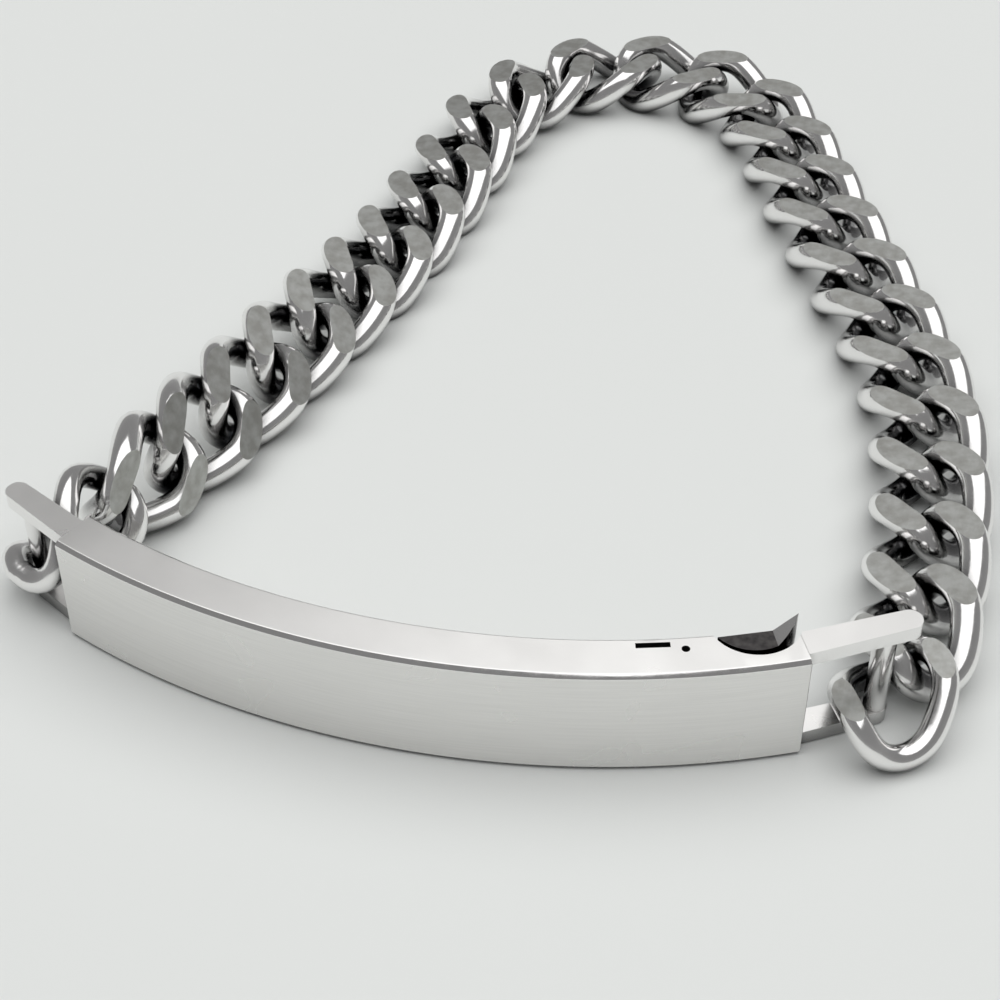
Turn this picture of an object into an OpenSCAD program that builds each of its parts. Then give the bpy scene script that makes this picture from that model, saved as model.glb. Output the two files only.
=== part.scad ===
// Curb chain bracelet with a curved name plate, in millimetres.
// The plate stands on its long edge and the chain lies beside it, fastened
// into one closed loop. X runs along the plate, Y away from its front face,
// Z up, and the origin is on the table under the middle of the whole loop.

/* [Name plate] */
// Length of the front face, measured along its curve
plate_len = 46.7; // [46.5:0.1:46.9]
// Height of the plate
plate_h = 7.9; // [7.8:0.1:8.4]
// Thickness of the plate, front to back
plate_t = 3.1; // [3:0.1:3.4]
// Radius that the front face is bent to
plate_r = 54.5; // [54.45:0.05:54.55]
// Width of the bevel along every long edge
plate_bevel = 0.25; // [0.2:0.05:0.4]

/* [End loops] */
// Distance from the plate's left end to the middle of its post
left_reach = 3.9; // [3.85:0.05:3.95]
// Distance from the plate's right end to the middle of its post
right_reach = 5.2; // [5.15:0.05:5.25]
// Thickness of the post that an end link hangs on
post_d = 1.4; // [1.2:0.1:1.4]
// Height of the bars above and below the opening
bar_h = 1; // [0.8:0.1:1]
// Thickness of the bars at the plate, front to back
bar_t = 1.8; // [1.6:0.1:1.8]
// Thickness of the bars at their tips
bar_tip_t = 1.5; // [1.5:0.1:1.6]
// Length of the upper bar past the post
bar_past = 1.4; // [0.8:0.1:1.8]
// Step from the plate's long edges to the bars
bar_inset = 0.1; // [0.1:0.05:0.15]
// Turn of the loops toward the back, in degrees
loop_turn = 5; // [4:1:6]

/* [Catch] */
// Length of the leaf-shaped recess, along the plate's top edge
recess_len = 5.4; // [5:0.1:5.6]
// Distance from the recess to the plate's right end
recess_end = -0.3; // [-0.3:0.1:0]
// How far the recess is cut in from the back face
recess_in = 2.1; // [1.8:0.1:2.3]
// Depth of the recess below the top edge
recess_deep = 1.6; // [1.4:0.1:2]
// Thickness of the catch lever
lever_t = 1.1; // [0.8:0.1:1.2]
// Gap in front of the lever, for a finger nail
nail_gap = 0.55; // [0.3:0.05:0.7]
// Height of the lever's thumb tip above the plate's top edge
tip_rise = 1; // [0.6:0.1:1.4]

/* [Chain] */
// Number of links between the two end loops
link_count = 27; // [27:1:27]
// Overall width of a link
link_w = 8; // [7.95:0.05:8.05]
// Thickness of the link wire
wire_d = 2.1; // [2:0.05:2.1]
// Thickness of the wire of the two end links
end_wire_d = 1.7; // [1.65:0.05:1.75]
// Overall width of the two end links
end_link_w = 7.4; // [7.2:0.1:7.5]
// Twist of the first link
first_link_twist = 165; // [160:1:168]
// Play of the first link, which is longer than the others
first_link_play = 0.7; // [0.6:0.1:0.8]
// Play between two links that pull on each other
link_play = 0.15; // [0.1:0.05:0.15]
// Thickness left after both broad faces of a link are ground flat
ground_t = 3.5; // [3.4:0.1:3.7]
// Twist of a link from one end to the other
link_twist = 106; // [105:1:108]

/* [Hidden] */
// Chain route, seen from above with the plate's centre of curvature at 0, 0
X = 0;
Y = 1;
Z = 2; // height of the chain's middle over the table
ROLL = 3; // degrees that the loop's outer side is raised
ROUTE = [
    [-26, -46.5, 3, 112],
    [-22.9, -41.6, 4.2, 90],
    [-20.8, -36, 4.05, 67],
    [-19, -30, 3.65, 49],
    [-16, -19, 2.9, 26],
    [-13, -7.5, 2, 7],
    [-11, 4, 1.9, -5],
    [-10.2, 10, 2.1, -7],
    [-8.5, 15.7, 2.1, -6],
    [-4.7, 20.3, 2.05, -4],
    [0.8, 22.5, 1.95, -1],
    [6.7, 21.9, 1.95, 2],
    [11.6, 18.5, 2, 4],
    [14.4, 13.3, 2, 4],
    [19, 2, 2.05, 4],
    [24, -9, 2.05, 5],
    [27.5, -19.5, 2.2, 8],
    [28.5, -31, 2.3, 9],
    [28.3, -37, 2.3, 8],
    [27.9, -43.3, 2.5, 6],
    [26.3, -49.2, 2.1, 0],
];
curve_steps = 12;

// Number of straight steps in each end bow of a link, and sides of its wire
bow_steps = 6;
wire_sides = 6;
// Gap that keeps the lever clear of the plate
seat_gap = 0.15;
// Where the lever's top starts to rise to its tip, right of its middle
tip_from = 0.9;
// Small slot and pin hole in the plate's top edge, left of the recess
slot_size = [2, 0.4, 0.5];
slot_from_end = 8.9;
slot_from_back = 0.7;
pin_d = 0.5;
pin_from_end = 7;
pin_from_back = 1.1;
// Turn of the plate about its centre of curvature, in degrees
plate_turn = -0.5;
// The middle of the whole loop, seen from the plate's centre of curvature
loop_mid = [1.95, -14.15];

plate_half = plate_len / 2 / plate_r * 180 / PI;
plate_mid_r = plate_r - plate_t / 2;
plate_back_r = plate_r - plate_t;
recess_r = (pow(recess_len / 2, 2) + pow(recess_in, 2)) / (2 * recess_in);

function link_name(k) = str("link_", k < 9 ? "0" : "", k + 1);
function unit(v) = v / norm(v);

// Smooth curve through the rows of the route
function row(r) =
    r < 0 ? 2 * ROUTE[0] - ROUTE[1]
    : r >= len(ROUTE) ? 2 * ROUTE[len(ROUTE) - 1] - ROUTE[len(ROUTE) - 2]
    : ROUTE[r];
function between(a, b, c, d, t) =
    (2 * b + (c - a) * t + (2 * a - 5 * b + 4 * c - d) * t * t
        + (3 * b - a - 3 * c + d) * t * t * t) / 2;
curve = [
    for (r = [0:len(ROUTE) - 2])
        for (i = [0:curve_steps - 1])
            between(row(r - 1), row(r), row(r + 1), row(r + 2), i / curve_steps),
    ROUTE[len(ROUTE) - 1],
];
function spot(i) = [curve[i][X], curve[i][Y], curve[i][Z]];
travel = [
    for (i = 0, s = 0; i < len(curve);
        s = s + (i + 1 < len(curve) ? norm(spot(i + 1) - spot(i)) : 0), i = i + 1)
            s
];
track = [
    for (column = [X:ROLL])
        [for (i = [0:len(curve) - 1]) [travel[i], curve[i][column]]]
];
pitch = travel[len(curve) - 1] / link_count;
function joint(k) = [for (column = [X:Z]) lookup(k * pitch, track[column])];
function roll(k) = lookup((k + 0.5) * pitch, track[ROLL]);

// Middle line of a link's wire, round one end bow after the other
function flat_line(half, w) = [
    for (side = [1, -1])
        for (j = [0:bow_steps + 1])
            let (a = -90 + 180 * j / bow_steps)
                side * (j > bow_steps ? [0, w] : [half - w + w * cos(a), w * sin(a)])
];
function twisted(p, half, twist) =
    let (a = -twist / 2 * p.x / half)
        [p.x, p.y * cos(a), p.y * sin(a)];

// Outline of the wire at one step, cut off where it passes a ground face
function wire_outline(c, along, d, thick) =
    let (
        inward = unit(cross([0, 0, 1], along)),
        up = cross(along, inward),
        reach = d / 2 * up.z,
        highest = (thick / 2 - c.z) / reach,
        lowest = (-thick / 2 - c.z) / reach
    )
    [
        for (j = [0:wire_sides - 1])
            let (
                a = 360 * j / wire_sides,
                rise = min(highest, max(lowest, sin(a))),
                run = sqrt(1 - rise * rise) * (cos(a) < 0 ? -1 : 1)
            )
            c + d / 2 * (run * inward + rise * up)
    ];

module link(k) {
    at_end = k == 0 || k == link_count - 1;
    d = at_end ? end_wire_d : wire_d;
    width = at_end ? end_link_w : link_w;
    half = (pitch + d + (k == 0 ? first_link_play : link_play)) / 2;
    w = (width - d) / 2;
    twist = k == 0 ? first_link_twist : link_twist;
    line = [for (p = flat_line(half, w)) twisted(p, half, twist)];
    steps = len(line);
    thick = k == 0 ? link_w : ground_t;
    outlines = [
        for (i = [0:steps - 1])
            let (along = unit(line[(i + 1) % steps] - line[(i + steps - 1) % steps]))
                wire_outline(line[i], along, d, thick)
    ];
    ahead = unit(joint(k + 1) - joint(k));
    side = unit(cross([0, 0, 1], ahead));
    up = cross(ahead, side);
    outer = side * cos(roll(k)) + up * sin(roll(k));
    broad = up * cos(roll(k)) - side * sin(roll(k));
    centre = (joint(k) + joint(k + 1)) / 2;
    points = [
        for (outline = outlines)
            for (p = outline)
                centre + p.x * ahead + p.y * outer + p.z * broad
    ];
    faces = [
        for (i = [0:steps - 1])
            for (j = [0:wire_sides - 1])
                let (
                    a = i * wire_sides,
                    b = (i + 1) % steps * wire_sides,
                    next = (j + 1) % wire_sides
                )
                    each [[a + j, b + j, b + next], [a + j, b + next, a + next]]
    ];
    color("#b9b7b2")
        translate([-loop_mid.x, -loop_mid.y, 0])
            polyhedron(points, faces);
}

// Places a shape on the plate: x to the right along it, y to its back
module on_plate(from_right_end, radius) {
    turn = plate_half + plate_turn - from_right_end / plate_r * 180 / PI;
    rotate([0, 0, turn])
        translate([0, -radius, 0])
            children();
}

// Plan of a bar, narrower toward its round tip
module bar_plan(reach) {
    tip = reach - bar_tip_t / 2;
    polygon([
        [-bar_t / 2, -bar_t / 2],
        [tip, -bar_tip_t / 2],
        [tip, bar_tip_t / 2],
        [-bar_t / 2, bar_t / 2],
    ]);
    translate([tip, 0])
        circle(d = bar_tip_t, $fn = 32);
}

module end_loop(post_reach) {
    low_reach = post_reach + bar_tip_t / 2;
    rotate([0, 0, plate_half])
        translate([0, -plate_mid_r, 0])
            rotate([0, 0, loop_turn]) {
                translate([0, 0, bar_inset])
                    linear_extrude(bar_h)
                        bar_plan(low_reach);
                translate([0, 0, plate_h - bar_inset - bar_h])
                    linear_extrude(bar_h)
                        bar_plan(low_reach + bar_past);
                translate([post_reach, 0, bar_inset])
                    cylinder(d = post_d, h = plate_h - 2 * bar_inset, $fn = 32);
            }
}

module recess_plan(r, back) {
    translate([0, recess_r - recess_in + back])
        circle(r = r, $fn = 96);
}

module name_plate() {
    b = plate_bevel;
    color("#c9c8c5")
        translate([-loop_mid.x, -loop_mid.y, 0])
            difference() {
                union() {
                    rotate([0, 0, plate_turn]) {
                        rotate([0, 0, -90 - plate_half])
                            rotate_extrude(angle = 2 * plate_half, $fn = 720)
                                polygon([
                                    [plate_back_r + b, 0],
                                    [plate_r - b, 0],
                                    [plate_r, b],
                                    [plate_r, plate_h - b],
                                    [plate_r - b, plate_h],
                                    [plate_back_r + b, plate_h],
                                    [plate_back_r, plate_h - b],
                                    [plate_back_r, b],
                                ]);
                        end_loop(right_reach);
                        mirror([1, 0, 0])
                            end_loop(left_reach);
                    }
                }
                on_plate(recess_end + recess_len / 2, plate_back_r)
                    translate([0, 0, plate_h - recess_deep])
                        linear_extrude(recess_deep + 1)
                            recess_plan(recess_r, 0);
                on_plate(slot_from_end, plate_back_r + slot_from_back)
                    translate([-slot_size.x / 2, -slot_size.y / 2, plate_h - slot_size.z])
                        cube([slot_size.x, slot_size.y, slot_size.z + 1]);
                on_plate(pin_from_end, plate_back_r + pin_from_back)
                    translate([0, 0, plate_h - slot_size.z])
                        cylinder(d = pin_d, h = slot_size.z + 1, $fn = 24);
            }
}

module catch_lever() {
    reach = recess_len / 2 - seat_gap;
    low = plate_h - recess_deep + seat_gap;
    color("#d0cfcc")
        translate([-loop_mid.x, -loop_mid.y, 0])
            on_plate(recess_end + recess_len / 2, plate_back_r)
                intersection() {
                    translate([0, 0, low])
                        linear_extrude(plate_h + tip_rise - low)
                            recess_plan(recess_r - seat_gap, nail_gap);
                    rotate([90, 0, 0])
                        linear_extrude(recess_in)
                            polygon([
                                [-reach, low],
                                [reach, low],
                                [reach, plate_h + tip_rise],
                                [tip_from, low + lever_t],
                                [-reach, low + lever_t],
                            ]);
                }
}

name_plate();
catch_lever();
for (k = [0:link_count - 1])
    link(k);
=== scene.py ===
# Curb chain bracelet with a curved name plate, lying on a pale table.
# The solids of the frame stay for collision. Finer pieces with the same sizes
# and places stand for them here: round wire links with ground faces, the plate
# with its soldered end loops, and the small blade of its catch.
import bisect
import math

import bmesh
import bpy
from mathutils import Matrix, Vector


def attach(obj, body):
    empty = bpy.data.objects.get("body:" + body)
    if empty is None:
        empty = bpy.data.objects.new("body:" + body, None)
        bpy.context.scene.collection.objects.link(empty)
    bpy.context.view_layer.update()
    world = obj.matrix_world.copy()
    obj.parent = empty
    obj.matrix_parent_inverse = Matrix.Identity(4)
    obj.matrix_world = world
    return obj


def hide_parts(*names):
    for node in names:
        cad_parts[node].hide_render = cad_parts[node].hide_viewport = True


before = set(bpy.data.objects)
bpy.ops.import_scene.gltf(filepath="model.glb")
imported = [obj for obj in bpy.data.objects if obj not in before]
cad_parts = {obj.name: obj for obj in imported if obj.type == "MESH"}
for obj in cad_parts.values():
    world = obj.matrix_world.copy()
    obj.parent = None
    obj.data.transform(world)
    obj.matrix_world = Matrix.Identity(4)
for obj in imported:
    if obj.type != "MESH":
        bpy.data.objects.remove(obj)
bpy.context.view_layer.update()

MM = 0.001

# Sizes are in millimetres. Places are measured from the plate's centre of
# curvature, x to the right and y to the back

# Name plate, bent to PLATE_R along its front and standing on a long edge
PLATE_LEN = 46.7
PLATE_H = 7.9
PLATE_T = 3.1
PLATE_R = 54.5
PLATE_TURN = math.radians(-0.5)
PLATE_BEVEL = 0.25
EDGE_ROUND = 0.05
EDGE_STEPS = 3
PLATE_STEPS = 96

# End loops: a post stands this far past the plate, between a lower bar that
# ends at it and an upper bar that goes BAR_PAST further
LEFT_REACH = 3.9
RIGHT_REACH = 5.2
POST_D = 1.4
POST_STEPS = 40
BAR_H = 1.0
BAR_T = 1.8
BAR_TIP_T = 1.5
BAR_TIP_STEPS = 24
BAR_PAST = 1.4
BAR_INSET = 0.1
BAR_ROUND = 0.2
LOOP_TURN = math.radians(5)

# Catch: a leaf-shaped recess in the plate's top and back, open at its right
# end, with a blade in it, and a slot and a pin hole beside it
RECESS_LEN = 5.4
RECESS_END = -0.3
RECESS_IN = 2.1
RECESS_DEEP = 1.6
BLADE_T = 1.1
NAIL_GAP = 0.55
TIP_RISE = 1.0
TIP_FROM = 0.9
SEAT_GAP = 0.15
LEAF_STEPS = 96
SLOT_SIZE = (2.0, 0.4, 0.5)
SLOT_FROM_END = 8.9
SLOT_FROM_BACK = 0.7
PIN_D = 0.5
PIN_FROM_END = 7.0
PIN_FROM_BACK = 1.1
PIN_STEPS = 24
CUT_PAST_TOP = 1

# Chain: the play is what two links leave free between their wires, and the
# ground faces are GROUND_T apart
LINK_COUNT = 27
LINK_W = 8.0
WIRE_D = 2.0
LINK_PLAY = 0.15
LINK_TWIST = math.radians(106)
GROUND_T = 3.5
END_LINK_W = 7.4
END_WIRE_D = 1.63
FIRST_LINK_PLAY = 0.7
FIRST_LINK_TWIST = math.radians(165)
BOW_STEPS = 26
SIDE_STEPS = 6
WIRE_SIDES = 28

# The chain's route: x, y, height of the chain's middle, and the degrees by
# which its outer side is raised
X, Y, Z, ROLL = range(4)
ROUTE = [
    (-26, -46.5, 3, 112),
    (-22.9, -41.6, 4.2, 90),
    (-20.8, -36, 4.05, 67),
    (-19, -30, 3.65, 49),
    (-16, -19, 2.9, 26),
    (-13, -7.5, 2, 7),
    (-11, 4, 1.9, -5),
    (-10.2, 10, 2.1, -7),
    (-8.5, 15.7, 2.1, -6),
    (-4.7, 20.3, 2.05, -4),
    (0.8, 22.5, 1.95, -1),
    (6.7, 21.9, 1.95, 2),
    (11.6, 18.5, 2, 4),
    (14.4, 13.3, 2, 4),
    (19, 2, 2.05, 4),
    (24, -9, 2.05, 5),
    (27.5, -19.5, 2.2, 8),
    (28.5, -31, 2.3, 9),
    (28.3, -37, 2.3, 8),
    (27.9, -43.3, 2.5, 6),
    (26.3, -49.2, 2.1, 0),
]
CURVE_STEPS = 12

# The middle of the whole loop, which becomes the middle of the scene
LOOP_MID = Vector((1.95, -14.15, 0))

# Table
TABLE_R = 1500
TABLE_T = 10
TABLE_STEPS = 64

# Camera
CAMERA_AIM = Vector((0.36, -31.51, 0))
CAMERA_AZIMUTH = math.radians(12)
CAMERA_ELEVATION = math.radians(41.8)
CAMERA_DISTANCE = 136.3
CAMERA_NEAR = 5
LENS_PER_WIDTH = 2.039
SENSOR = 36.0

# Edges that turn by more than this are shaded crisp, and eased on a bar
CRISP_ANGLE = math.radians(32)
RIM_ANGLE = math.radians(40)

# A level face's normal rises at least this much
LEVEL_RISE = 0.99

# What tells the plate's brushed sides from its bevels: how far the middle of a
# face may be off them, and how much a face of the front or back may lean
OFF_EDGE = 0.01
OFF_BROAD = 0.04
BROAD_LEAN = 0.05


def linear(code):
    """An sRGB hex colour as the linear values that a shader takes."""
    parts = [int(code[i:i + 2], 16) / 255 for i in (1, 3, 5)]
    return [c / 12.92 if c <= 0.04045 else ((c + 0.055) / 1.055) ** 2.4 for c in parts] + [1.0]


def add(tree, kind, inputs=None, **settings):
    """Adds one node, sets its settings, and fills or links its inputs."""
    made = tree.nodes.new(kind)
    for name, value in settings.items():
        setattr(made, name, value)
    for name, value in (inputs or {}).items():
        if isinstance(value, bpy.types.NodeSocket):
            tree.links.new(value, made.inputs[name])
        else:
            made.inputs[name].default_value = value
    return made


def ramp(tree, factor, *stops):
    """Adds a colour ramp with stops of (place, hex colour)."""
    made = add(tree, "ShaderNodeValToRGB", {"Fac": factor})
    while len(made.color_ramp.elements) < len(stops):
        made.color_ramp.elements.new(0.5)
    for element, (place, code) in zip(made.color_ramp.elements, stops):
        element.position = place
        element.color = linear(code)
    return made.outputs["Color"]


def new_material(name):
    """Makes a material with a bare metal shader."""
    material = bpy.data.materials.new(name)
    material.use_nodes = True
    tree = material.node_tree
    tree.nodes.clear()
    shader = add(tree, "ShaderNodeBsdfPrincipled", {"Metallic": 1.0})
    add(tree, "ShaderNodeOutputMaterial", {"Surface": shader.outputs["BSDF"]})
    return material, tree, shader


def per_mm(size):
    """Noise scale whose blotches are about this many millimetres."""
    return 1 / (size * MM)


def tarnish_and_shade(tree, clean, dark_in_gaps, reach):
    """Colour of silver with painted shade: it darkens in gaps about this many
    millimetres deep, near other parts and near the table, partly as tarnish
    where polish can't reach."""
    hollow = add(tree, "ShaderNodeAmbientOcclusion", {"Distance": reach * MM}, samples=8)
    return ramp(tree, hollow.outputs["AO"], (0.3, dark_in_gaps), (0.85, clean))


def polished_silver():
    # Sterling silver, tumbled and buffed: sharp reflections, broken only by a
    # faint haze of fine handling marks. Painted shade makes it near black in the
    # gaps between links and next to the table, partly as tarnish
    material, tree, shader = new_material("polished_silver")
    place = add(tree, "ShaderNodeTexCoord").outputs["Object"]
    marks = add(tree, "ShaderNodeTexNoise", {"Vector": place, "Scale": per_mm(0.6), "Detail": 4.0})
    rough = add(tree, "ShaderNodeMapRange", {
        "Value": marks.outputs["Fac"], "From Min": 0.3, "From Max": 0.7, "To Min": 0.1, "To Max": 0.18})
    soft = add(tree, "ShaderNodeTexNoise", {"Vector": place, "Scale": per_mm(1.5), "Detail": 1.0})
    bump = add(tree, "ShaderNodeBump", {
        "Height": soft.outputs["Fac"], "Strength": 0.25, "Distance": 0.03 * MM})
    tree.links.new(tarnish_and_shade(tree, "#efeeed", "#17181c", 2.6), shader.inputs["Base Color"])
    tree.links.new(rough.outputs["Result"], shader.inputs["Roughness"])
    tree.links.new(bump.outputs["Normal"], shader.inputs["Normal"])
    return material


def ground_silver():
    # The same silver ground flat on a fine wheel and lightly buffed, with faint
    # straight grinding lines and a slightly cloudy tone from wear. It is greyer
    # than the polished silver: painted shade for the dim reflections of the
    # facets.
    # The lines are drawn coarser than real ones, which are too fine to show
    material, tree, shader = new_material("ground_silver")
    place = add(tree, "ShaderNodeTexCoord").outputs["Object"]
    along = add(tree, "ShaderNodeMapping", {"Vector": place, "Scale": (1.0, 0.12, 1.0)})
    lines = add(tree, "ShaderNodeTexNoise", {
        "Vector": along.outputs["Vector"], "Scale": per_mm(0.12), "Detail": 3.0})
    rough = add(tree, "ShaderNodeMapRange", {
        "Value": lines.outputs["Fac"], "From Min": 0.3, "From Max": 0.7, "To Min": 0.46, "To Max": 0.54})
    bump = add(tree, "ShaderNodeBump", {
        "Height": lines.outputs["Fac"], "Strength": 0.12, "Distance": 0.01 * MM})
    wear = add(tree, "ShaderNodeTexNoise", {"Vector": place, "Scale": per_mm(0.8), "Detail": 3.0})
    cloud = ramp(tree, wear.outputs["Fac"], (0.35, "#e4e2e0"), (0.65, "#ffffff"))
    # Painted shade: the facets also darken near gaps, other parts and the table, partly as tarnish
    tint = add(tree, "ShaderNodeVectorMath", {
        0: tarnish_and_shade(tree, "#bebfbc", "#444447", 1.0), 1: cloud}, operation="MULTIPLY")
    tree.links.new(tint.outputs["Vector"], shader.inputs["Base Color"])
    tree.links.new(rough.outputs["Result"], shader.inputs["Roughness"])
    tree.links.new(bump.outputs["Normal"], shader.inputs["Normal"])
    return material


def satin_silver():
    # The same silver drawn along a fine belt: a soft sheen with lines that run
    # the length of the plate, and slight unevenness from handling. The lines
    # are drawn coarser than real ones, which are too fine to show
    material, tree, shader = new_material("satin_silver")
    place = add(tree, "ShaderNodeTexCoord").outputs["Object"]
    along = add(tree, "ShaderNodeMapping", {"Vector": place, "Scale": (0.02, 0.02, 1.0)})
    lines = add(tree, "ShaderNodeTexNoise", {
        "Vector": along.outputs["Vector"], "Scale": per_mm(0.1), "Detail": 4.0})
    cloud = add(tree, "ShaderNodeTexNoise", {"Vector": place, "Scale": per_mm(5), "Detail": 2.0})
    rough = add(tree, "ShaderNodeMapRange", {
        "Value": cloud.outputs["Fac"], "From Min": 0.3, "From Max": 0.7, "To Min": 0.26, "To Max": 0.34})
    tint = ramp(tree, lines.outputs["Fac"], (0.3, "#e2e1df"), (0.7, "#e8e7e5"))
    bump = add(tree, "ShaderNodeBump", {
        "Height": lines.outputs["Fac"], "Strength": 0.12, "Distance": 0.01 * MM})
    tree.links.new(tint, shader.inputs["Base Color"])
    tree.links.new(rough.outputs["Result"], shader.inputs["Roughness"])
    tree.links.new(bump.outputs["Normal"], shader.inputs["Normal"])
    return material


def shaded_recess_silver():
    # The same silver inside the catch recess and on top of its blade, never
    # buffed, so softly glossy, and painted dark: painted shade that falls in the
    # recess
    material, tree, shader = new_material("shaded_recess_silver")
    place = add(tree, "ShaderNodeTexCoord").outputs["Object"]
    stain = add(tree, "ShaderNodeTexNoise", {"Vector": place, "Scale": per_mm(0.5), "Detail": 3.0})
    tint = ramp(tree, stain.outputs["Fac"], (0.3, "#3a3839"), (0.7, "#5a5857"))
    tree.links.new(tint, shader.inputs["Base Color"])
    shader.inputs["Roughness"].default_value = 0.45
    return material


def white_table():
    # Matt white laminate: plain, pale and without gloss
    material, tree, shader = new_material("white_table")
    place = add(tree, "ShaderNodeTexCoord").outputs["Object"]
    cloud = add(tree, "ShaderNodeTexNoise", {"Vector": place, "Scale": per_mm(120), "Detail": 1.0})
    tint = ramp(tree, cloud.outputs["Fac"], (0.3, "#dcdedc"), (0.7, "#dee0de"))
    tree.links.new(tint, shader.inputs["Base Color"])
    shader.inputs["Metallic"].default_value = 0.0
    shader.inputs["Roughness"].default_value = 0.8
    shader.inputs["Specular IOR Level"].default_value = 0.2
    return material


POLISHED = polished_silver()
GROUND = ground_silver()
SATIN = satin_silver()
# RECESS carries painted shade for the catch recess and the blade's top
RECESS = shaded_recess_silver()


def to_object(bm, name, matrix, materials):
    """Makes a piece from a mesh in millimetres, placed, brought to metres, and
    with its faces outward."""
    bm.transform(Matrix.Scale(MM, 4) @ Matrix.Translation(-LOOP_MID) @ matrix)
    bmesh.ops.recalc_face_normals(bm, faces=bm.faces)
    if bm.calc_volume(signed=True) < 0:
        bmesh.ops.reverse_faces(bm, faces=bm.faces)
    mesh = bpy.data.meshes.new(name)
    bm.to_mesh(mesh)
    bm.free()
    for material in materials:
        mesh.materials.append(material)
    piece = bpy.data.objects.new(name, mesh)
    bpy.context.scene.collection.objects.link(piece)
    return piece


def join_rings(bm, rings):
    """Joins each ring of corners to the next with faces."""
    count = len(rings[0])
    for ring, following in zip(rings, rings[1:]):
        for j in range(count):
            bm.faces.new((ring[j], following[j], following[(j + 1) % count], ring[(j + 1) % count]))


# Chain

def between(a, b, c, d, t):
    """Smooth step from b to c, with a before them and d after them."""
    return [
        (2 * q + (r - p) * t + (2 * p - 5 * q + 4 * r - s) * t * t
         + (3 * q - p - 3 * r + s) * t ** 3) / 2
        for p, q, r, s in zip(a, b, c, d)
    ]


def mirrored(a, b):
    """A row as far before a as b is after it."""
    return [2 * p - q for p, q in zip(a, b)]


def route_curve():
    """The route's rows with smooth steps between them."""
    rows = [mirrored(ROUTE[0], ROUTE[1])] + ROUTE + [mirrored(ROUTE[-1], ROUTE[-2])]
    curve = [
        between(*rows[r:r + 4], i / CURVE_STEPS)
        for r in range(len(ROUTE) - 1)
        for i in range(CURVE_STEPS)
    ]
    return curve + [list(ROUTE[-1])]


def spot_of(row):
    """The place that a row of the route gives."""
    return Vector((row[X], row[Y], row[Z]))


CURVE = route_curve()
TRAVEL = [0.0]
for here, there in zip(CURVE, CURVE[1:]):
    TRAVEL.append(TRAVEL[-1] + (spot_of(there) - spot_of(here)).length)
PITCH = TRAVEL[-1] / LINK_COUNT


def along_route(distance):
    """The route's row at this distance from its start."""
    i = min(max(bisect.bisect_right(TRAVEL, distance), 1), len(TRAVEL) - 1)
    t = (distance - TRAVEL[i - 1]) / (TRAVEL[i] - TRAVEL[i - 1])
    return [a + (b - a) * t for a, b in zip(CURVE[i - 1], CURVE[i])]


def twisted(x, y, half, twist):
    """A point of a flat link after the link is twisted about its length."""
    a = -twist / 2 * x / half
    return Vector((x, y * math.cos(a), y * math.sin(a)))


def wire_line(half, w, twist):
    """Middle line of a link's wire: two bows and the straight sides between."""
    line = []
    for side in (1, -1):
        for j in range(BOW_STEPS):
            a = math.radians(-90 + 180 * j / BOW_STEPS)
            x = half - w + w * math.cos(a)
            line.append(twisted(side * x, side * w * math.sin(a), half, twist))
        for j in range(SIDE_STEPS):
            x = (half - w) * (1 - 2 * j / SIDE_STEPS)
            line.append(twisted(side * x, side * w, half, twist))
    return line


def wire_rings(bm, line, d):
    """Adds a ring of corners round each point of a closed line."""
    rings = []
    for i, spot in enumerate(line):
        ahead = (line[(i + 1) % len(line)] - line[i - 1]).normalized()
        inward = Vector((0, 0, 1)).cross(ahead).normalized()
        up = ahead.cross(inward)
        rings.append([
            bm.verts.new(spot + d / 2 * (math.cos(a) * inward + math.sin(a) * up))
            for a in (math.tau * j / WIRE_SIDES for j in range(WIRE_SIDES))
        ])
    return rings


def grind(bm, side):
    """Grinds one broad face of a link flat."""
    cut = bmesh.ops.bisect_plane(
        bm, geom=bm.verts[:] + bm.edges[:] + bm.faces[:], dist=1e-5,
        plane_co=(0, 0, side * GROUND_T / 2), plane_no=(0, 0, side), clear_outer=True)
    rim = [e for e in cut["geom_cut"] if isinstance(e, bmesh.types.BMEdge)]
    for facet in bmesh.ops.holes_fill(bm, edges=rim)["faces"]:
        facet.smooth = False
        facet.material_index = 1
        for edge in facet.edges:
            edge.smooth = False


def link_place(k):
    """Matrix that sets link k between its two joints, rolled about its length."""
    here = spot_of(along_route(k * PITCH))
    there = spot_of(along_route((k + 1) * PITCH))
    roll = math.radians(along_route((k + 0.5) * PITCH)[ROLL])
    ahead = (there - here).normalized()
    side = Vector((0, 0, 1)).cross(ahead).normalized()
    up = ahead.cross(side)
    outer = side * math.cos(roll) + up * math.sin(roll)
    broad = up * math.cos(roll) - side * math.sin(roll)
    turn = Matrix((ahead, outer, broad)).transposed().to_4x4()
    return Matrix.Translation((here + there) / 2) @ turn


def make_link(k):
    """Link k of the chain. The first and the last are of thinner wire, to pass
    round the posts, and the first is longer, twisted more and left round."""
    first = k == 0
    at_end = first or k == LINK_COUNT - 1
    d = END_WIRE_D if at_end else WIRE_D
    w = ((END_LINK_W if at_end else LINK_W) - d) / 2
    half = (PITCH + d + (FIRST_LINK_PLAY if first else LINK_PLAY)) / 2
    bm = bmesh.new()
    line = wire_line(half, w, FIRST_LINK_TWIST if first else LINK_TWIST)
    rings = wire_rings(bm, line, d)
    join_rings(bm, rings + rings[:1])
    for face in bm.faces:
        face.smooth = True
    if not first:
        grind(bm, 1)
        grind(bm, -1)
    piece = to_object(bm, "curb_link_%02d" % (k + 1), link_place(k), [POLISHED, GROUND])
    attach(piece, "root")
    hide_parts("link_%02d" % (k + 1))
    return piece


# Name plate and catch

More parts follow.
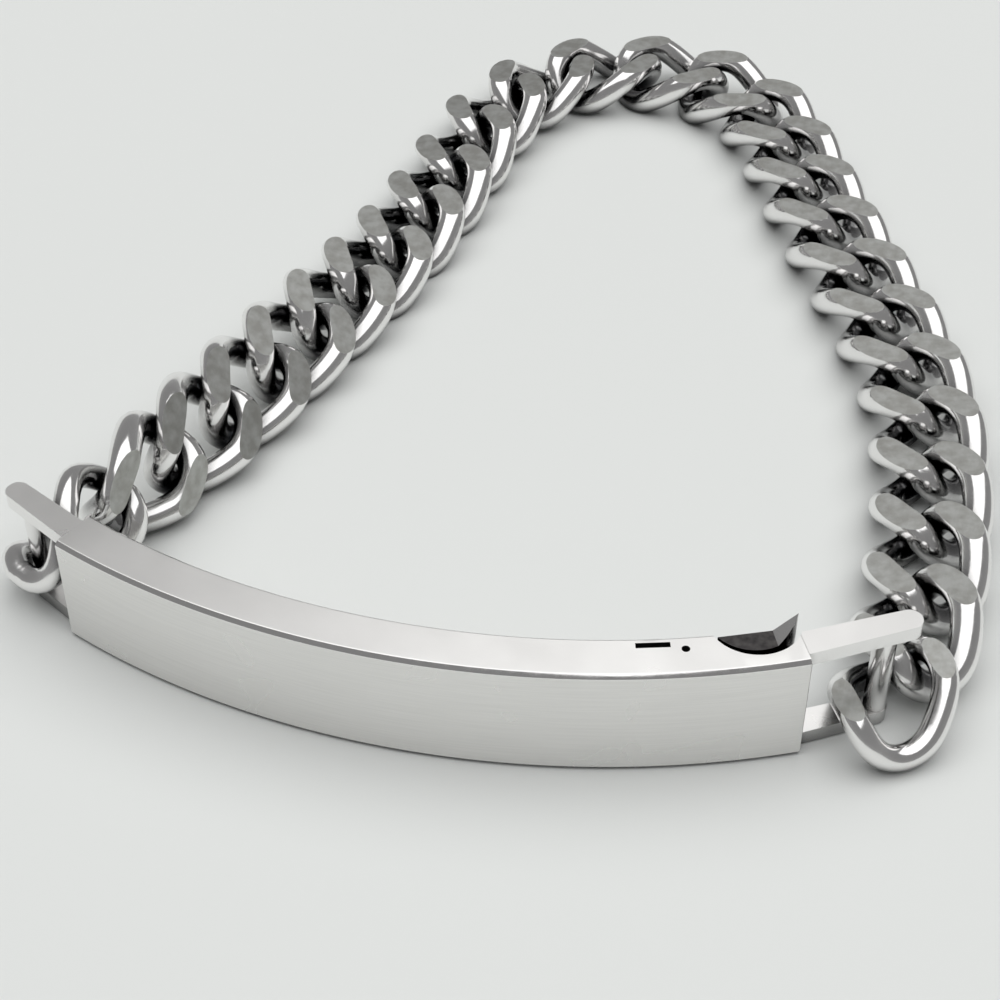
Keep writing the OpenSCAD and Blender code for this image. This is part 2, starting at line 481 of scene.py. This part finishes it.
PLATE_HALF = PLATE_LEN / 2 / PLATE_R
PLATE_BACK_R = PLATE_R - PLATE_T
PLATE_MID_R = PLATE_R - PLATE_T / 2
LEAF_R = ((RECESS_LEN / 2) ** 2 + RECESS_IN ** 2) / (2 * RECESS_IN)
LEAF_FROM_END = RECESS_END + RECESS_LEN / 2


def on_plate(from_right_end, radius):
    """Matrix of a place on the plate: x to the right along it, y to its back."""
    turn = PLATE_HALF + PLATE_TURN - from_right_end / PLATE_R
    return Matrix.Rotation(turn, 4, "Z") @ Matrix.Translation((0, -radius, 0))


def prism(bm, outline, low, high, matrix=Matrix()):
    """Adds an upright prism over an outline of (x, y) corners."""
    bottom = [bm.verts.new(matrix @ Vector((x, y, low))) for x, y in outline]
    top = [bm.verts.new(matrix @ Vector((x, y, high))) for x, y in outline]
    bm.faces.new(bottom[::-1])
    bm.faces.new(top)
    for i, corner in enumerate(bottom):
        j = (i + 1) % len(bottom)
        bm.faces.new((corner, bottom[j], top[j], top[i]))


def arc(x, y, r, start, end, steps):
    """Points on an arc about x, y, with both of its ends."""
    angles = (start + (end - start) * i / steps for i in range(steps + 1))
    return [(x + r * math.cos(a), y + r * math.sin(a)) for a in angles]


def circle(x, y, r, steps):
    """Corners of a round outline about x, y."""
    return arc(x, y, r, 0, math.tau, steps)[:-1]


def bar_outline(reach):
    """A bar from above, from its root in the plate to its round tip."""
    root = [(-BAR_T / 2, BAR_T / 2), (-BAR_T / 2, -BAR_T / 2)]
    r = BAR_TIP_T / 2
    return root + arc(reach - r, 0, r, math.radians(-90), math.radians(90), BAR_TIP_STEPS)


def eased(corners, ease):
    """Outline with each corner turned into a short curve."""
    outline = []
    for before, corner, after in zip(corners[-1:] + corners[:-1], corners, corners[1:] + corners[:1]):
        corner = Vector(corner)
        start = corner + ease * (Vector(before) - corner).normalized()
        end = corner + ease * (Vector(after) - corner).normalized()
        for t in (j / EDGE_STEPS for j in range(EDGE_STEPS + 1)):
            outline.append(start * (1 - t) ** 2 + 2 * corner * t * (1 - t) + end * t ** 2)
    return outline


def plate_profile(inset):
    """Section of the plate as (radius, height), with its four long bevels."""
    b = PLATE_BEVEL
    back = PLATE_BACK_R + inset
    front = PLATE_R - inset
    top = PLATE_H - inset
    return eased([
        (back + b, inset),
        (front - b, inset),
        (front, b + inset),
        (front, top - b),
        (front - b, top),
        (back + b, top),
        (back, top - b),
        (back, b + inset),
    ], EDGE_ROUND)


def bent_plate():
    """The plate as its section swept along its curve, eased at both ends."""
    bm = bmesh.new()
    end = PLATE_HALF - EDGE_ROUND / PLATE_R
    turns = [(-PLATE_HALF, EDGE_ROUND)]
    turns += [(end * (2 * i / PLATE_STEPS - 1), 0) for i in range(PLATE_STEPS + 1)]
    turns += [(PLATE_HALF, EDGE_ROUND)]
    rings = []
    for turn, inset in turns:
        a = PLATE_TURN + turn
        rings.append([
            bm.verts.new((r * math.sin(a), -r * math.cos(a), z)) for r, z in plate_profile(inset)])
    join_rings(bm, rings)
    bm.faces.new(rings[0])
    bm.faces.new(rings[-1][::-1])
    return bm


def loop_place(side):
    """Matrix of an end loop: x away from the plate, on its right or left end."""
    mirror = Matrix.Scale(side, 4, (1, 0, 0))
    turn = Matrix.Rotation(PLATE_HALF, 4, "Z") @ Matrix.Translation((0, -PLATE_MID_R, 0))
    return Matrix.Rotation(PLATE_TURN, 4, "Z") @ mirror @ turn @ Matrix.Rotation(LOOP_TURN, 4, "Z")


def add_bar(bm, reach, low, place):
    """Adds a bar with softly rounded edges to a mesh of loop parts."""
    bar = bmesh.new()
    prism(bar, bar_outline(reach), low, low + BAR_H)
    rims = [e for e in bar.edges if e.calc_face_angle() > RIM_ANGLE]
    bmesh.ops.bevel(
        bar, geom=rims, offset=BAR_ROUND, segments=EDGE_STEPS, profile=0.5, affect="EDGES",
        clamp_overlap=True)
    bar.transform(place)
    part = bpy.data.meshes.new("bar")
    bar.to_mesh(part)
    bar.free()
    bm.from_mesh(part)
    bpy.data.meshes.remove(part)


def make_loop(name, side, reach):
    """End loop: two bars and the post between them, soldered to the plate."""
    place = loop_place(side)
    tip = reach + BAR_TIP_T / 2
    bm = bmesh.new()
    add_bar(bm, tip, BAR_INSET, place)
    add_bar(bm, tip + BAR_PAST, PLATE_H - BAR_INSET - BAR_H, place)
    post = circle(reach, 0, POST_D / 2, POST_STEPS)
    prism(bm, post, BAR_INSET + BAR_H / 2, PLATE_H - BAR_INSET - BAR_H / 2, place)
    piece = to_object(bm, name, Matrix(), [POLISHED, SATIN, RECESS])
    dress_level_faces(piece)
    cut_away(piece, leaf_cutter())
    shade_smooth(piece)
    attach(piece, "root")
    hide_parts("name_plate")
    return piece


def top_cutter(outline, deep, place):
    """A form to cut this deep into the plate's top."""
    bm = bmesh.new()
    prism(bm, outline, PLATE_H - deep, PLATE_H + CUT_PAST_TOP, place)
    return bm


def leaf_cutter():
    """The recess: a circle about a point behind the plate cuts a leaf from it."""
    outline = circle(0, LEAF_R - RECESS_IN, LEAF_R, LEAF_STEPS)
    return top_cutter(outline, RECESS_DEEP, on_plate(LEAF_FROM_END, PLATE_BACK_R))


def slot_cutter():
    length, width, deep = SLOT_SIZE
    x, y = length / 2, width / 2
    outline = [(-x, -y), (x, -y), (x, y), (-x, y)]
    return top_cutter(outline, deep, on_plate(SLOT_FROM_END, PLATE_BACK_R + SLOT_FROM_BACK))


def pin_cutter():
    outline = circle(0, 0, PIN_D / 2, PIN_STEPS)
    return top_cutter(outline, SLOT_SIZE[2], on_plate(PIN_FROM_END, PLATE_BACK_R + PIN_FROM_BACK))


def carve(piece, tool, operation):
    """Cuts a piece by another solid, or keeps what both share, and drops the
    other solid. Parts that overlap in the piece become one."""
    step = piece.modifiers.new(operation.lower(), "BOOLEAN")
    step.object = tool
    step.operation = operation
    step.solver = "EXACT"
    step.use_self = True
    depsgraph = bpy.context.evaluated_depsgraph_get()
    mesh = bpy.data.meshes.new_from_object(piece.evaluated_get(depsgraph))
    piece.modifiers.clear()
    piece.data = mesh
    bpy.data.objects.remove(tool)


def cut_away(piece, bm):
    """Cuts a form out of a piece and leaves unbuffed metal with painted shade behind it."""
    carve(piece, to_object(bm, "cutter", Matrix(), [RECESS]), "DIFFERENCE")


def shade_smooth(piece):
    """Shades curves as smooth and keeps flats flat and edges crisp."""
    for face in piece.data.polygons:
        face.use_smooth = True
    piece.data.set_sharp_from_angle(angle=CRISP_ANGLE)
    even = piece.modifiers.new("even_shading", "WEIGHTED_NORMAL")
    even.keep_sharp = True
    even.weight = 60


def dress_level_faces(piece):
    """Gives a piece's second material to its faces that look straight up."""
    for face in piece.data.polygons:
        if face.normal.z > LEVEL_RISE:
            face.material_index = 1


def is_satin(face):
    """True on the plate's front, back, top and bottom, which are brushed."""
    middle = face.center / MM + LOOP_MID
    radius = math.hypot(middle.x, middle.y)
    off_edge = min(abs(middle.z), abs(middle.z - PLATE_H))
    off_broad = min(abs(radius - PLATE_R), abs(radius - PLATE_BACK_R))
    upright = abs(face.normal.z) < BROAD_LEAN
    return off_edge < OFF_EDGE or (off_broad < OFF_BROAD and upright)


def make_plate():
    piece = to_object(bent_plate(), "identity_plate", Matrix(), [POLISHED, SATIN, RECESS])
    for face in piece.data.polygons:
        if is_satin(face):
            face.material_index = 1
    for bm in (leaf_cutter(), slot_cutter(), pin_cutter()):
        cut_away(piece, bm)
    shade_smooth(piece)
    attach(piece, "root")
    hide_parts("name_plate")
    return piece


def make_blade():
    """Blade of the catch: its leaf shape from above, cut to its shape from the
    side, with a tip that turns up at the right."""
    low = PLATE_H - RECESS_DEEP + SEAT_GAP
    high = PLATE_H + TIP_RISE
    reach = RECESS_LEN / 2 - SEAT_GAP
    place = on_plate(LEAF_FROM_END, PLATE_BACK_R)
    leaf = bmesh.new()
    outline = circle(0, LEAF_R - RECESS_IN + NAIL_GAP, LEAF_R - SEAT_GAP, LEAF_STEPS)
    prism(leaf, outline, low, high)
    side = bmesh.new()
    profile = [
        (-reach, low),
        (reach, low),
        (reach, high),
        (TIP_FROM, low + BLADE_T),
        (-reach, low + BLADE_T),
    ]
    prism(side, profile, 0, RECESS_IN, Matrix.Rotation(math.radians(90), 4, "X"))
    piece = to_object(leaf, "catch_blade", place, [POLISHED, RECESS])
    carve(piece, to_object(side, "side_form", place, [POLISHED]), "INTERSECT")
    dress_level_faces(piece)
    shade_smooth(piece)
    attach(piece, "root")
    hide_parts("catch_lever")
    return piece


# Table, light and camera

def make_table():
    bm = bmesh.new()
    prism(bm, circle(0, 0, TABLE_R, TABLE_STEPS), -TABLE_T, 0)
    table = to_object(bm, "table_top", Matrix(), [white_table()])


def make_softbox(name, place, size, turn, radiance, in_gloss=True):
    """Hangs a level soft light that shines straight down. Place and size are in
    metres, and it is turned this many degrees about the vertical."""
    light = bpy.data.lights.new(name, "AREA")
    light.shape = "RECTANGLE"
    light.size, light.size_y = size
    light.energy = radiance * math.pi * size[0] * size[1]
    lamp = bpy.data.objects.new(name, light)
    lamp.location = place
    lamp.rotation_euler = (0, 0, math.radians(turn))
    lamp.visible_glossy = in_gloss
    bpy.context.scene.collection.objects.link(lamp)


def light_room():
    """A dim room, a little paler near the floor."""
    world = bpy.data.worlds.new("studio_room")
    world.use_nodes = True
    tree = world.node_tree
    tree.nodes.clear()
    place = add(tree, "ShaderNodeTexCoord").outputs["Generated"]
    height = add(tree, "ShaderNodeSeparateXYZ", {"Vector": place}).outputs["Z"]
    shade = ramp(tree, height, (0.0, "#929292"), (0.3, "#868686"), (0.65, "#828282"))
    glow = add(tree, "ShaderNodeBackground", {"Color": shade, "Strength": 1.0})
    add(tree, "ShaderNodeOutputWorld", {"Surface": glow.outputs["Background"]})
    bpy.context.scene.world = world


def make_camera():
    """Camera that looks down at the loop, with the picture's whites kept white."""
    view = Vector((math.sin(CAMERA_AZIMUTH) * math.cos(CAMERA_ELEVATION),
                   -math.cos(CAMERA_AZIMUTH) * math.cos(CAMERA_ELEVATION),
                   math.sin(CAMERA_ELEVATION)))
    data = bpy.data.cameras.new("camera")
    data.sensor_width = SENSOR
    data.lens = LENS_PER_WIDTH * SENSOR
    data.clip_start = CAMERA_NEAR * MM
    camera = bpy.data.objects.new("camera", data)
    camera.location = (CAMERA_AIM - LOOP_MID + view * CAMERA_DISTANCE) * MM
    camera.rotation_mode = "QUATERNION"
    camera.rotation_quaternion = view.to_track_quat("Z", "Y")
    bpy.context.scene.collection.objects.link(camera)
    bpy.context.scene.camera = camera
    bpy.context.scene.view_settings.view_transform = "Standard"


make_camera()
make_plate()
make_loop("soldered_loop_right", 1, RIGHT_REACH)
make_loop("soldered_loop_left", -1, LEFT_REACH)
make_blade()
for number in range(LINK_COUNT):
    make_link(number)
make_table()
light_room()
make_softbox("overhead_softbox", place=(0.05, 0.06, 0.6), size=(1.04, 0.95), turn=60, radiance=1.15)
make_softbox("table_fill", place=(0, 0, 0.9), size=(1.8, 1.8), turn=0, radiance=0.5, in_gloss=False)
